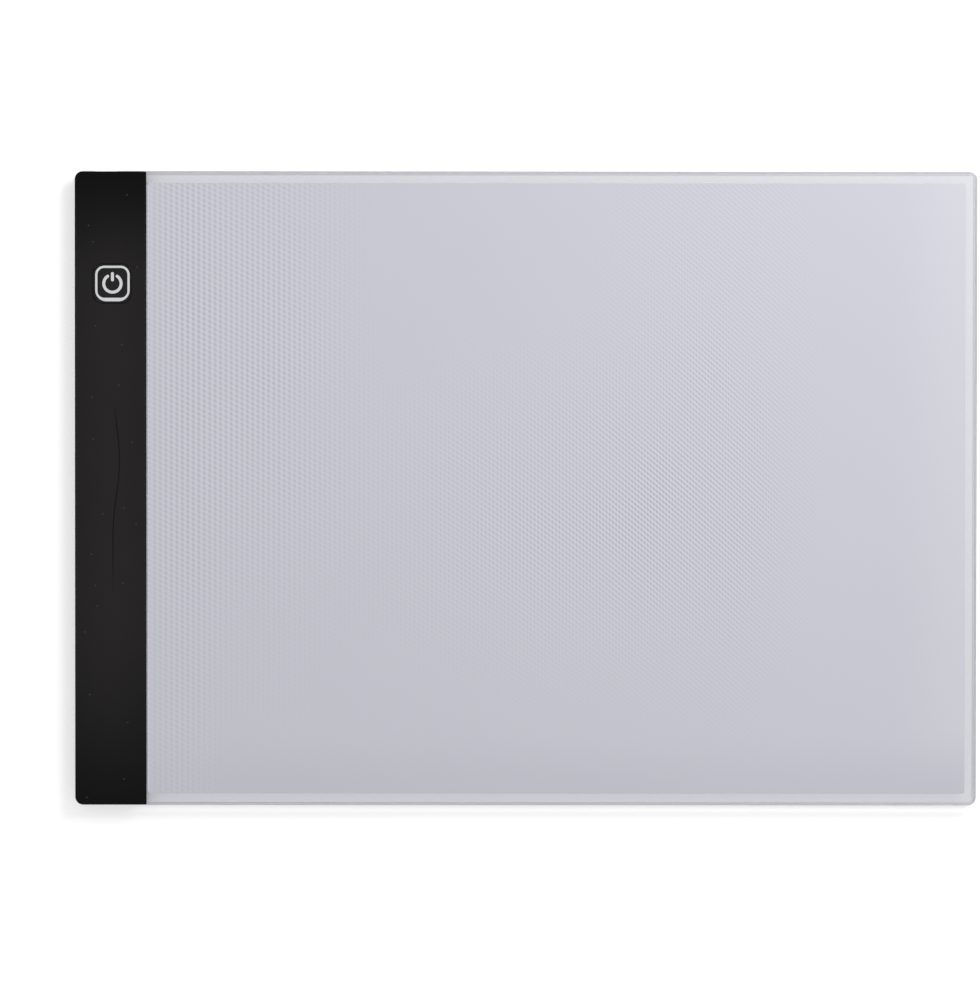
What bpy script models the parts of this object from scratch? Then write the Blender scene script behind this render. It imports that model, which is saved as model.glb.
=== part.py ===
"""An A4 LED tracing pad, lying on its rubber feet with the work surface up.

+X runs along the long side, from the black strip to the far edge. +Y runs to the edge
that holds the power socket, and +Z out of the work surface. The origin is on the table,
under the middle of the pad. All sizes are in metres.

The pad is a stack of sheets. A clear acrylic plate carries everything: the back cover and
the reflector are stuck under it, the film and the black strip cover on top of it. A bay
milled through the plate, under the strip, holds the row of LEDs and the control board.
"""

from math import cos, pi, sin

import bmesh
import bpy
from mathutils import Vector

# The whole pad
PAD_LENGTH = 0.333
PAD_WIDTH = 0.234
PAD_CORNER_RADIUS = 0.003

# Clearances
GLUE_GAP = 0.00005  # under every sheet and part that is stuck down
FIT_GAP = 0.0003  # round every part that lies loose in its place
CUT_OVERRUN = 0.001  # how far a cutter runs past what it cuts

# How finely round shapes are drawn
CORNER_STEPS = 6
ROUND_SIDES = 28
WIRE_RESOLUTION = 2

# Rubber feet, in shallow recesses of the back cover
FOOT_DIAMETER = 0.010
FOOT_HEIGHT = 0.0010
FOOT_SOLE_ROUNDING = 0.0003
FOOT_INSET = 0.015  # from the pad's edges to a foot's middle
FOOT_RECESS_DEPTH = 0.00025

# Back cover
COVER_THICKNESS = 0.0008
COVER_INSET = 0.0003  # how far its edge stands back from the acrylic's
COVER_CHAMFER = 0.0003

# The thin layer between the cover and the acrylic: tape round the edge, reflector inside
LAYER_THICKNESS = 0.0002
TAPE_INSET = 0.0009
TAPE_WIDTH = 0.0035
REFLECTOR_GAP = 0.0002
BOARD_TAPE_MARGIN = 0.0015  # how far the board's own tape stands back from its edges

# Acrylic light guide
GUIDE_THICKNESS = 0.0030
RIM_CHAMFER = 0.0007
BAY_CORNER_RADIUS = 0.0008
SOCKET_WALL = 0.0020  # acrylic left between the bay and the edge with the socket

# Front film, over the lit area
FILM_THICKNESS = 0.0002
FILM_CORNER_RADIUS = 0.0010
FILM_EDGE_CHAMFER = 0.00005

# Black strip cover
STRIP_WIDTH = 0.0263
STRIP_THICKNESS = 0.0004
STRIP_SETBACK = 0.0002  # how far its outer sides stand back from the acrylic's
STRIP_LIP_EDGE = 0.0001  # the flat under the lip that wraps the acrylic's chamfer
STRIP_INNER_CORNER_RADIUS = 0.0005
STRIP_EDGE_CHAMFER = 0.0001
STRIP_OVERLAP = 0.0023  # how far it hides the acrylic past the LEDs
STRIP_TO_FILM = 0.0005

# Power key
KEY_WIDTH = 0.0140
KEY_LENGTH = 0.0144
KEY_CORNER_RADIUS = 0.0034
KEY_FROM_LEFT = 0.0139  # from the pad's left edge to the key's middle
KEY_FROM_TOP = 0.0415  # from the edge with the socket to the key's middle
KEY_WINDOW_GAP = 0.0002
KEY_RISE = 0.00015  # above the strip's face
KEY_EDGE_CHAMFER = 0.0002
KEY_TRAVEL = 0.00025
KEY_TAB_THICKNESS = 0.0004
KEY_TAB_REACH = 0.0010  # how far the tabs run under the strip, past the window
KEY_TAB_WIDTH = 0.0060

# Sprung switch under the key
SWITCH_WIDTH = 0.0060
SWITCH_CORNER_CUT = 0.0006
SWITCH_TOP_CHAMFER = 0.0002
PLUNGER_DIAMETER = 0.0035
PLUNGER_REACH = 0.0003  # how much of it is inside the switch at rest
PLUNGER_TOP_CHAMFER = 0.0002
BORE_GAP = 0.0001

# Control board, from the socket's notch, under the key and on to a short tail
BOARD_WIDTH = 0.0135
BOARD_TAIL = 0.0123  # how far it runs on past the switch
BOARD_THICKNESS = 0.0008
BOARD_CORNER_RADIUS = 0.0005
BAY_END_ROOM = 0.0040  # free bay past the board's lower end

# Parts soldered on the control board: width along X, length along Y, height
CHIP_SIZE = (0.0039, 0.0049, 0.0013)
TRANSISTOR_SIZE = (0.0014, 0.0029, 0.0010)
RESISTOR_SIZE = (0.00125, 0.0020, 0.0005)
CAPACITOR_SIZE = (0.0016, 0.0032, 0.0012)
PACKAGE_CHAMFER = 0.0002
# Their middles, as shares of the board's width and of its head or tail, from the lower left.
# The head lies between the switch and the socket, the tail on the switch's other side.
CHIP_HEAD_SHARES = (0.42, 0.44)
CAPACITOR_HEAD_SHARES = (0.42, 0.68)
RESISTOR_B_HEAD_SHARES = (0.20, 0.14)
RESISTOR_A_TAIL_SHARES = (0.20, 0.57)
TRANSISTOR_TAIL_SHARES = (0.60, 0.57)

# Bent legs of the chip and the transistor
LEG_SHEET = 0.00018
LEG_WIDTH = 0.0004
LEG_SHOULDER = 0.0002  # straight out of the package before the bend
LEG_REACH = 0.0009
PACKAGE_STANDOFF = 0.0001
CHIP_LEGS_A_SIDE = 4
CHIP_LEG_PITCH = 0.00127
TRANSISTOR_LEG_PITCH = 0.0019

# Micro-USB socket: a folded steel shell with a plastic tongue inside
SOCKET_WIDTH = 0.0076
SOCKET_DEPTH = 0.0056
SOCKET_SHEET = 0.0003
SOCKET_HEADROOM = 0.0002  # between the shell and the acrylic's two faces
SOCKET_SETBACK = 0.0001  # of the shell's mouth behind the strip cover's lip
SOCKET_TOP_RADIUS = 0.0004
SOCKET_LOWER_CUT = 0.0008
SOCKET_FLARE = 0.0001
SOCKET_FLARE_DEPTH = 0.0006
SOCKET_TAB_REACH = 0.0012
SOCKET_TAB_LENGTH = 0.0018
SOCKET_TAB_FROM_BACK = 0.0008
SOCKET_CORNER_STEPS = 3
TONGUE_BLOCK_DEPTH = 0.0016
TONGUE_WIDTH = 0.0037
TONGUE_THICKNESS = 0.0006
TONGUE_SETBACK = 0.0007  # of the tongue's tip behind the shell's mouth
TONGUE_RISE = 0.0002  # above the socket's middle
TONGUE_CORNER = 0.0001

# LEDs on a narrow board that stands on edge against the slot's back wall
LED_COUNT = 24
LED_LENGTH = 0.0030
LED_HEIGHT = 0.0014
LED_DEPTH = 0.0008
LED_RIM = 0.0002
LED_CUP_DEPTH = 0.0004
LED_CUP_TAPER = 0.00015
LED_TO_GUIDE = 0.0003
LED_BOARD_THICKNESS = 0.0008
LED_BOARD_MARGIN = 0.00005  # of board above the LEDs
LED_BOARD_END_ROOM = 0.0040

# Two wires from the control board to the LED board
WIRE_DIAMETER = 0.0008
WIRE_ON_BOARD = 0.0022  # how far a wire lies on the control board
WIRE_SPACING = 0.0030
WIRE_FROM_BOARD_END = 0.0045
WIRE_RISE = 0.0003  # the wires' small arch over the gap between the boards

# Places that follow from the sizes above: heights
FOOT_RECESS_ROOF = FOOT_HEIGHT + GLUE_GAP
COVER_BOTTOM = FOOT_RECESS_ROOF - FOOT_RECESS_DEPTH
COVER_TOP = COVER_BOTTOM + COVER_THICKNESS
LAYER_BOTTOM = COVER_TOP + GLUE_GAP
LAYER_TOP = LAYER_BOTTOM + LAYER_THICKNESS
GUIDE_BOTTOM = LAYER_TOP + GLUE_GAP
GUIDE_TOP = GUIDE_BOTTOM + GUIDE_THICKNESS
GUIDE_MIDDLE = (GUIDE_BOTTOM + GUIDE_TOP) / 2
FACE_BOTTOM = GUIDE_TOP + GLUE_GAP
FILM_TOP = FACE_BOTTOM + FILM_THICKNESS
STRIP_TOP = FACE_BOTTOM + STRIP_THICKNESS
STRIP_LIP_BOTTOM = FACE_BOTTOM - RIM_CHAMFER + STRIP_SETBACK + STRIP_LIP_EDGE
BOARD_BOTTOM = GUIDE_BOTTOM
BOARD_TOP = BOARD_BOTTOM + BOARD_THICKNESS
KEY_TOP = STRIP_TOP + KEY_RISE
KEY_TAB_TOP = FACE_BOTTOM - GLUE_GAP
KEY_TAB_BOTTOM = KEY_TAB_TOP - KEY_TAB_THICKNESS
KEY_BOTTOM = KEY_TAB_BOTTOM - GLUE_GAP
PLUNGER_TOP = KEY_BOTTOM - GLUE_GAP
SWITCH_TOP = PLUNGER_TOP - KEY_TRAVEL - FIT_GAP
SWITCH_BORE_FLOOR = SWITCH_TOP - PLUNGER_REACH - KEY_TRAVEL - BORE_GAP
LED_BOARD_TOP = GUIDE_MIDDLE + LED_HEIGHT / 2 + LED_BOARD_MARGIN

# Places that follow from the sizes above: across the pad
LEFT, RIGHT = -PAD_LENGTH / 2, PAD_LENGTH / 2
BACK_EDGE, FRONT_EDGE = PAD_WIDTH / 2, -PAD_WIDTH / 2
BORDER = TAPE_INSET + TAPE_WIDTH
STRIP_LEFT = LEFT + STRIP_SETBACK
STRIP_RIGHT = STRIP_LEFT + STRIP_WIDTH
ENTRY_FACE = STRIP_RIGHT - STRIP_OVERLAP
LED_FRONT = ENTRY_FACE - LED_TO_GUIDE
LED_BOARD_RIGHT = LED_FRONT - LED_DEPTH - GLUE_GAP
LED_BOARD_LEFT = LED_BOARD_RIGHT - LED_BOARD_THICKNESS
SLOT_LEFT = LED_BOARD_LEFT - GLUE_GAP
SLOT_HALF_LENGTH = PAD_WIDTH / 2 - BORDER
LED_BOARD_HALF_LENGTH = SLOT_HALF_LENGTH - LED_BOARD_END_ROOM
KEY_X = LEFT + KEY_FROM_LEFT
KEY_Y = BACK_EDGE - KEY_FROM_TOP
BAY_LEFT = LEFT + BORDER
BAY_BACK = BACK_EDGE - SOCKET_WALL
BOARD_LEFT = BAY_LEFT + FIT_GAP
BOARD_RIGHT = BOARD_LEFT + BOARD_WIDTH
BOARD_BACK = BAY_BACK - FIT_GAP
BOARD_FRONT = KEY_Y - SWITCH_WIDTH / 2 - BOARD_TAIL
BAY_FRONT = BOARD_FRONT - BAY_END_ROOM
SOCKET_X = (BOARD_LEFT + BOARD_RIGHT) / 2
SOCKET_MOUTH = BACK_EDGE - RIM_CHAMFER - SOCKET_SETBACK
SOCKET_BACK = SOCKET_MOUTH - SOCKET_DEPTH
SOCKET_HEIGHT = GUIDE_THICKNESS - SOCKET_HEADROOM * 2


def clear_scene():
    for thing in list(bpy.data.objects):
        bpy.data.objects.remove(thing, do_unlink=True)


# Materials


def to_linear(channel):
    """One sRGB channel from 0 to 255, as the linear value that a shader takes."""
    share = channel / 255
    return share / 12.92 if share <= 0.04045 else ((share + 0.055) / 1.055) ** 2.4


def finish(name, hex_colour, roughness, metallic=0.0, transmission=0.0):
    """A Principled material by its name, made once."""
    if name in bpy.data.materials:
        return bpy.data.materials[name]
    made = bpy.data.materials.new(name)
    made.use_nodes = True
    shader = made.node_tree.nodes["Principled BSDF"]
    channels = [to_linear(value) for value in bytes.fromhex(hex_colour)]
    shader.inputs["Base Color"].default_value = (*channels, 1.0)
    shader.inputs["Roughness"].default_value = roughness
    shader.inputs["Metallic"].default_value = metallic
    shader.inputs["Transmission Weight"].default_value = transmission
    return made


def clear_acrylic():
    return finish("clear_acrylic", "E6E7EA", 0.06, transmission=1.0)


def matte_film():
    return finish("matte_film", "C8C9D4", 0.45)


def black_film():
    return finish("black_film", "262425", 0.42)


def white_plastic():
    return finish("white_plastic", "E9EAEC", 0.5)


def white_reflector():
    return finish("white_reflector", "F3F4F6", 0.35)


def white_tape():
    return finish("white_tape", "EDEDEF", 0.8)


def dark_rubber():
    return finish("dark_rubber", "2B2B2D", 0.85)


def board_laminate():
    return finish("board_laminate", "1D5B3A", 0.4)


def white_laminate():
    return finish("white_laminate", "E8E8E4", 0.45)


def led_housing():
    return finish("led_housing", "F2EEDC", 0.5)


def black_resin():
    return finish("black_resin", "1E1E20", 0.55)


def resistor_ceramic():
    return finish("resistor_ceramic", "26262C", 0.35)


def capacitor_ceramic():
    return finish("capacitor_ceramic", "A58A6A", 0.45)


def bright_steel():
    return finish("bright_steel", "C9CBCE", 0.28, metallic=1.0)


def switch_plastic():
    return finish("switch_plastic", "3A3A3C", 0.5)


def plunger_plastic():
    return finish("plunger_plastic", "8B3F3A", 0.45)


def wire_red():
    return finish("wire_red", "B3261E", 0.4)


def wire_black():
    return finish("wire_black", "202022", 0.4)


# Shapes


def rounded_rectangle(edges, radii, inset=0.0):
    """An outline, anticlockwise from the lower left corner.

    edges are left, front, right and back. radii are those of the front left, front
    right, back right and back left corners. inset draws the outline inwards.
    """
    left, front, right, back = edges
    corners = ((left, front, 1, 1), (right, front, -1, 1), (right, back, -1, -1), (left, back, 1, -1))
    points = []
    for turn, ((x, y, inward_x, inward_y), radius) in enumerate(zip(corners, radii)):
        middle_x, middle_y = x + inward_x * radius, y + inward_y * radius
        drawn = max(radius - inset, radius / CORNER_STEPS)
        middle_x += inward_x * max(inset + drawn - radius, 0)
        middle_y += inward_y * max(inset + drawn - radius, 0)
        for step in range(CORNER_STEPS + 1):
            angle = pi + (turn + step / CORNER_STEPS) * pi / 2
            points.append((middle_x + drawn * cos(angle), middle_y + drawn * sin(angle)))
    return points


def circle(x, y, radius):
    turns = [2 * pi * side / ROUND_SIDES for side in range(ROUND_SIDES)]
    return [(x + radius * cos(turn), y + radius * sin(turn)) for turn in turns]


def solid(name, rings, material):
    """A closed body through rings of points, with a face over the first and the last."""
    shape = bmesh.new()
    loops = [[shape.verts.new(point) for point in ring] for ring in rings]
    for lower, upper in zip(loops, loops[1:]):
        for here in range(len(lower)):
            after = (here + 1) % len(lower)
            shape.faces.new((lower[here], lower[after], upper[after], upper[here]))
    shape.faces.new(reversed(loops[0]))
    shape.faces.new(loops[-1])
    bmesh.ops.recalc_face_normals(shape, faces=shape.faces)
    mesh = bpy.data.meshes.new(name)
    shape.to_mesh(mesh)
    shape.free()
    mesh.materials.append(material)
    made = bpy.data.objects.new(name, mesh)
    bpy.context.scene.collection.objects.link(made)
    return made


def plate(name, edges, radii, levels, material):
    """A flat piece. levels are its heights from the bottom up, each with an inset."""
    rings = []
    for height, inset in levels:
        rings.append([(x, y, height) for x, y in rounded_rectangle(edges, radii, inset)])
    return solid(name, rings, material)


def turned(name, x, y, profile, material):
    """A round piece. profile holds its radii and heights from the bottom up."""
    rings = [[(px, py, height) for px, py in circle(x, y, radius)] for radius, height in profile]
    made = solid(name, rings, material)
    made.data.shade_smooth()
    made.data.set_sharp_from_angle(angle=pi / 6)
    return made


def as_guide(tool):
    tool.display_type = "WIRE"
    tool.hide_render = True
    return tool


def combine(piece, tool, operation):
    """Cuts a piece with a tool, or joins the tool to it."""
    as_guide(tool)
    modifier = piece.modifiers.new(tool.name, "BOOLEAN")
    modifier.operation = operation
    modifier.object = tool


def around(x, y, width, length):
    """The edges of a rectangle about its middle."""
    return (x - width / 2, y - length / 2, x + width / 2, y + length / 2)


def grown(edges, by):
    left, front, right, back = edges
    return (left - by, front - by, right + by, back + by)


def through_cutter(name, edges, radii, bottom, top):
    levels = ((bottom - CUT_OVERRUN, 0), (top + CUT_OVERRUN, 0))
    return plate(name, edges, radii, levels, black_resin())


def all_corners(radius):
    return (radius,) * 4


# Sheets of the stack


def pad_edges():
    return (LEFT, FRONT_EDGE, RIGHT, BACK_EDGE)


def foot_places():
    side, end = PAD_LENGTH / 2 - FOOT_INSET, PAD_WIDTH / 2 - FOOT_INSET
    return ((-side, -end), (side, -end), (side, end), (-side, end))


def make_back_cover():
    edges = grown(pad_edges(), -COVER_INSET)
    radius = PAD_CORNER_RADIUS - COVER_INSET
    levels = (
        (COVER_BOTTOM, COVER_CHAMFER),
        (COVER_BOTTOM + COVER_CHAMFER, 0),
        (COVER_TOP, 0),
    )
    cover = plate("back_cover", edges, all_corners(radius), levels, white_plastic())
    recess_radius = FOOT_DIAMETER / 2 + FIT_GAP
    for count, (x, y) in enumerate(foot_places(), start=1):
        profile = ((recess_radius, COVER_BOTTOM - CUT_OVERRUN), (recess_radius, FOOT_RECESS_ROOF))
        recess = turned(f"foot_recess_{count}", x, y, profile, dark_rubber())
        combine(cover, recess, "DIFFERENCE")


def make_feet():
    for count, (x, y) in enumerate(foot_places(), start=1):
        radius = FOOT_DIAMETER / 2
        profile = (
            (radius - FOOT_SOLE_ROUNDING, 0),
            (radius - FOOT_SOLE_ROUNDING * (1 - cos(pi / 4)), FOOT_SOLE_ROUNDING * (1 - sin(pi / 4))),
            (radius, FOOT_SOLE_ROUNDING),
            (radius, FOOT_HEIGHT),
        )
        turned(f"foot_{count}", x, y, profile, dark_rubber())


def make_adhesive_frame():
    levels = ((LAYER_BOTTOM, 0), (LAYER_TOP, 0))
    edges = grown(pad_edges(), -TAPE_INSET)
    radius = PAD_CORNER_RADIUS - TAPE_INSET
    frame = plate("adhesive_frame", edges, all_corners(radius), levels, white_tape())
    inner = grown(edges, -TAPE_WIDTH)
    cutter = through_cutter("tape_cutter", inner, all_corners(radius), LAYER_BOTTOM, LAYER_TOP)
    combine(frame, cutter, "DIFFERENCE")


def make_reflector_sheet():
    left = ENTRY_FACE + FIT_GAP
    end = PAD_WIDTH / 2 - BORDER - REFLECTOR_GAP
    edges = (left, -end, RIGHT - BORDER - REFLECTOR_GAP, end)
    radius = PAD_CORNER_RADIUS - TAPE_INSET
    levels = ((LAYER_BOTTOM, 0), (LAYER_TOP, 0))
    plate("reflector_sheet", edges, all_corners(radius), levels, white_reflector())


def make_board_tape():
    edges = grown((BOARD_LEFT, BOARD_FRONT, BOARD_RIGHT, SOCKET_BACK), -BOARD_TAPE_MARGIN)
    levels = ((LAYER_BOTTOM, 0), (LAYER_TOP, 0))
    plate("board_tape", edges, all_corners(BOARD_CORNER_RADIUS), levels, white_tape())


def make_light_guide():
    levels = (
        (GUIDE_BOTTOM, RIM_CHAMFER),
        (GUIDE_BOTTOM + RIM_CHAMFER, 0),
        (GUIDE_TOP - RIM_CHAMFER, 0),
        (GUIDE_TOP, RIM_CHAMFER),
    )
    guide = plate("light_guide", pad_edges(), all_corners(PAD_CORNER_RADIUS), levels, clear_acrylic())
    slot = (SLOT_LEFT, -SLOT_HALF_LENGTH, ENTRY_FACE, SLOT_HALF_LENGTH)
    bay = (BAY_LEFT, BAY_FRONT, (SLOT_LEFT + ENTRY_FACE) / 2, BAY_BACK)
    mouth_half = SOCKET_WIDTH / 2 + SOCKET_FLARE + FIT_GAP
    mouth = (
        SOCKET_X - mouth_half,
        BAY_BACK - CUT_OVERRUN,
        SOCKET_X + mouth_half,
        BACK_EDGE + CUT_OVERRUN,
    )
    for name, edges in (("led_slot", slot), ("board_bay", bay), ("socket_mouth", mouth)):
        radii = all_corners(BAY_CORNER_RADIUS)
        combine(guide, through_cutter(name, edges, radii, GUIDE_BOTTOM, GUIDE_TOP), "DIFFERENCE")


def make_front_film():
    end = PAD_WIDTH / 2 - BORDER
    edges = (STRIP_RIGHT + STRIP_TO_FILM, -end, RIGHT - BORDER, end)
    levels = ((FACE_BOTTOM, 0), (FILM_TOP - FILM_EDGE_CHAMFER, 0), (FILM_TOP, FILM_EDGE_CHAMFER))
    plate("front_film", edges, all_corners(FILM_CORNER_RADIUS), levels, matte_film())


def key_edges():
    return around(KEY_X, KEY_Y, KEY_WIDTH, KEY_LENGTH)


def make_strip_cover():
    """A black cap over the bay, whose lip wraps the acrylic's chamfer on three sides."""
    end = PAD_WIDTH / 2 - STRIP_SETBACK
    outer = PAD_CORNER_RADIUS - STRIP_SETBACK
    inner = STRIP_INNER_CORNER_RADIUS
    levels = (
        (STRIP_LIP_BOTTOM, 0),
        (STRIP_TOP - STRIP_EDGE_CHAMFER, 0),
        (STRIP_TOP, STRIP_EDGE_CHAMFER),
    )
    edges = (STRIP_LEFT, -end, STRIP_RIGHT, end)
    strip = plate("strip_cover", edges, (outer, inner, inner, outer), levels, black_film())
    seat_levels = (
        (FACE_BOTTOM - RIM_CHAMFER - CUT_OVERRUN, 0),
        (FACE_BOTTOM - RIM_CHAMFER, 0),
        (FACE_BOTTOM, RIM_CHAMFER),
    )
    radii = all_corners(PAD_CORNER_RADIUS)
    combine(strip, plate("acrylic_seat", pad_edges(), radii, seat_levels, black_film()), "DIFFERENCE")
    window = through_cutter(
        "key_window",
        grown(key_edges(), KEY_WINDOW_GAP),
        all_corners(KEY_CORNER_RADIUS + KEY_WINDOW_GAP),
        FACE_BOTTOM,
        STRIP_TOP,
    )
    combine(strip, window, "DIFFERENCE")


# Power key and its switch


def make_power_key():
    levels = ((KEY_BOTTOM, 0), (KEY_TOP - KEY_EDGE_CHAMFER, 0), (KEY_TOP, KEY_EDGE_CHAMFER))
    key = plate("power_key", key_edges(), all_corners(KEY_CORNER_RADIUS), levels, black_film())
    tab_length = KEY_LENGTH + (KEY_WINDOW_GAP + KEY_TAB_REACH) * 2
    tab_edges = around(KEY_X, KEY_Y, KEY_TAB_WIDTH, tab_length)
    tab_levels = ((KEY_TAB_BOTTOM, 0), (KEY_TAB_TOP, 0))
    tabs = plate("key_tabs", tab_edges, all_corners(BAY_CORNER_RADIUS), tab_levels, black_film())
    combine(key, tabs, "UNION")


def make_switch_body():
    half, cut = SWITCH_WIDTH / 2, SWITCH_CORNER_CUT

    def ring(height, inset):
        side, corner = half - inset, half - cut
        places = (
            (-corner, -side), (corner, -side), (side, -corner), (side, corner),
            (corner, side), (-corner, side), (-side, corner), (-side, -corner),
        )
        return [(KEY_X + x, KEY_Y + y, height) for x, y in places]

    levels = (
        (BOARD_TOP + GLUE_GAP, 0),
        (SWITCH_TOP - SWITCH_TOP_CHAMFER, 0),
        (SWITCH_TOP, SWITCH_TOP_CHAMFER),
    )
    body = solid("key_switch_body", [ring(*level) for level in levels], switch_plastic())
    bore_radius = PLUNGER_DIAMETER / 2 + BORE_GAP
    profile = ((bore_radius, SWITCH_BORE_FLOOR), (bore_radius, SWITCH_TOP + CUT_OVERRUN))
    bore = turned("switch_bore", KEY_X, KEY_Y, profile, switch_plastic())
    combine(body, bore, "DIFFERENCE")


def make_switch_plunger():
    radius = PLUNGER_DIAMETER / 2
    profile = (
        (radius, SWITCH_TOP - PLUNGER_REACH),
        (radius, PLUNGER_TOP - PLUNGER_TOP_CHAMFER),
        (radius - PLUNGER_TOP_CHAMFER, PLUNGER_TOP),
    )
    turned("key_switch_plunger", KEY_X, KEY_Y, profile, plunger_plastic())


# Control board and what is soldered on it


def make_control_board():
    edges = (BOARD_LEFT, BOARD_FRONT, BOARD_RIGHT, BOARD_BACK)
    levels = ((BOARD_BOTTOM, 0), (BOARD_TOP, 0))
    radii = all_corners(BOARD_CORNER_RADIUS)
    board = plate("control_board", edges, radii, levels, board_laminate())
    half = SOCKET_WIDTH / 2 + FIT_GAP
    notch = (SOCKET_X - half, SOCKET_BACK - FIT_GAP, SOCKET_X + half, BOARD_BACK + CUT_OVERRUN)
    cutter = through_cutter("socket_notch", notch, radii, BOARD_BOTTOM, BOARD_TOP)
    combine(board, cutter, "DIFFERENCE")


def on_head(shares):
    """A place on the board between the switch and the socket."""
    start, end = KEY_Y + SWITCH_WIDTH / 2, SOCKET_BACK - FIT_GAP
    return BOARD_LEFT + BOARD_WIDTH * shares[0], start + (end - start) * shares[1]


def on_tail(shares):
    """A place on the board past the switch."""
    return BOARD_LEFT + BOARD_WIDTH * shares[0], BOARD_FRONT + BOARD_TAIL * shares[1]


def make_block(name, place, size, chamfer, material, standoff=0.0):
    """A small part that stands on the board, chamfered round its top."""
    width, length, height = size
    bottom = BOARD_TOP + GLUE_GAP + standoff
    levels = ((bottom, 0), (bottom + height - chamfer, 0), (bottom + height, chamfer))
    return plate(name, around(*place, width, length), all_corners(chamfer), levels, material)


def add_leg(package, name, side, x, y, half_width, height):
    """A leg that leaves the package's side at half height, bends down and ends in a flat foot."""
    foot = BOARD_TOP + GLUE_GAP
    shoulder = foot + PACKAGE_STANDOFF + height / 2
    bend = half_width + LEG_SHOULDER
    tip = half_width + LEG_REACH
    ankle = (bend + tip) / 2
    profile = (
        (half_width - LEG_SHOULDER, shoulder),
        (bend - LEG_SHEET, shoulder),
        (ankle - LEG_SHEET, foot),
        (tip, foot),
        (tip, foot + LEG_SHEET),
        (ankle, foot + LEG_SHEET),
        (bend, shoulder + LEG_SHEET),
        (half_width - LEG_SHOULDER, shoulder + LEG_SHEET),
    )
    ends = (y - LEG_WIDTH / 2, y + LEG_WIDTH / 2)
    rings = [[(x + side * out, end, up) for out, up in profile] for end in ends]
    combine(package, solid(name, rings, bright_steel()), "UNION")


def make_driver_chip():
    x, y = on_head(CHIP_HEAD_SHARES)
    width, _, height = CHIP_SIZE
    chip = make_block("driver_chip", (x, y), CHIP_SIZE, PACKAGE_CHAMFER, black_resin(), PACKAGE_STANDOFF)
    for side in (-1, 1):
        for count in range(CHIP_LEGS_A_SIDE):
            along = y + (count - (CHIP_LEGS_A_SIDE - 1) / 2) * CHIP_LEG_PITCH
            add_leg(chip, f"chip_leg_{side}_{count}", side, x, along, width / 2, height)


def make_transistor():
    x, y = on_tail(TRANSISTOR_TAIL_SHARES)
    width, _, height = TRANSISTOR_SIZE
    package = make_block(
        "transistor", (x, y), TRANSISTOR_SIZE, PACKAGE_CHAMFER, black_resin(), PACKAGE_STANDOFF
    )
    half_pitch = TRANSISTOR_LEG_PITCH / 2
    for side, along in ((-1, y - half_pitch), (-1, y + half_pitch), (1, y)):
        add_leg(package, f"transistor_leg_{along:.5f}", side, x, along, width / 2, height)


def make_small_parts():
    chamfer = PACKAGE_CHAMFER / 2
    first, second = on_tail(RESISTOR_A_TAIL_SHARES), on_head(RESISTOR_B_HEAD_SHARES)
    make_block("resistor_a", first, RESISTOR_SIZE, chamfer, resistor_ceramic())
    make_block("resistor_b", second, RESISTOR_SIZE, chamfer, resistor_ceramic())
    place = on_head(CAPACITOR_HEAD_SHARES)
    make_block("capacitor", place, CAPACITOR_SIZE, chamfer, capacitor_ceramic())


# Socket


def socket_ring(y, width, height, rounding, lower_cut, rise=0.0):
    """A ring across the socket: wide and rounded at the top, with its lower corners cut."""
    half, top, bottom = width / 2, GUIDE_MIDDLE + rise + height / 2, GUIDE_MIDDLE + rise - height / 2
    points = [(half, bottom + lower_cut), (half - lower_cut, bottom)]
    points += [(-half + lower_cut, bottom), (-half, bottom + lower_cut)]
    for side, first in ((-1, pi), (1, pi / 2)):
        for step in range(SOCKET_CORNER_STEPS + 1):
            angle = first - step / SOCKET_CORNER_STEPS * pi / 2
            x = side * (half - rounding) + rounding * cos(angle)
            points.append((x, top - rounding + rounding * sin(angle)))
    return [(SOCKET_X + x, y, z) for x, z in points]


def shell_ring(y, inset):
    """A ring of the shell, drawn in from its outer skin by an inset, or out by a flare."""
    rounding = max(SOCKET_TOP_RADIUS - inset, SOCKET_TOP_RADIUS / SOCKET_CORNER_STEPS)
    return socket_ring(
        y, SOCKET_WIDTH - inset * 2, SOCKET_HEIGHT - inset * 2, rounding, SOCKET_LOWER_CUT
    )


def make_usb_shell():
    neck = SOCKET_MOUTH - SOCKET_FLARE_DEPTH
    rings = (
        shell_ring(SOCKET_BACK, 0),
        shell_ring(neck, 0),
        shell_ring(SOCKET_MOUTH, -SOCKET_FLARE),
        shell_ring(SOCKET_MOUTH, SOCKET_SHEET - SOCKET_FLARE),
        shell_ring(neck, SOCKET_SHEET),
        shell_ring(SOCKET_BACK + SOCKET_SHEET, SOCKET_SHEET),
    )
    shell = solid("usb_shell", rings, bright_steel())
    tab_bottom = BOARD_TOP + GLUE_GAP
    tab_levels = ((tab_bottom, 0), (tab_bottom + SOCKET_SHEET, 0))
    tab_y = SOCKET_BACK + SOCKET_TAB_FROM_BACK + SOCKET_TAB_LENGTH / 2
    for side, name in ((-1, "socket_tab_left"), (1, "socket_tab_right")):
        inner = SOCKET_WIDTH / 2 - SOCKET_SHEET / 2
        outer = SOCKET_WIDTH / 2 + SOCKET_TAB_REACH
        middle = SOCKET_X + side * (inner + outer) / 2
        edges = around(middle, tab_y, outer - inner, SOCKET_TAB_LENGTH)
        radii = all_corners(SOCKET_SHEET / 4)
        combine(shell, plate(name, edges, radii, tab_levels, bright_steel()), "UNION")


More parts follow.
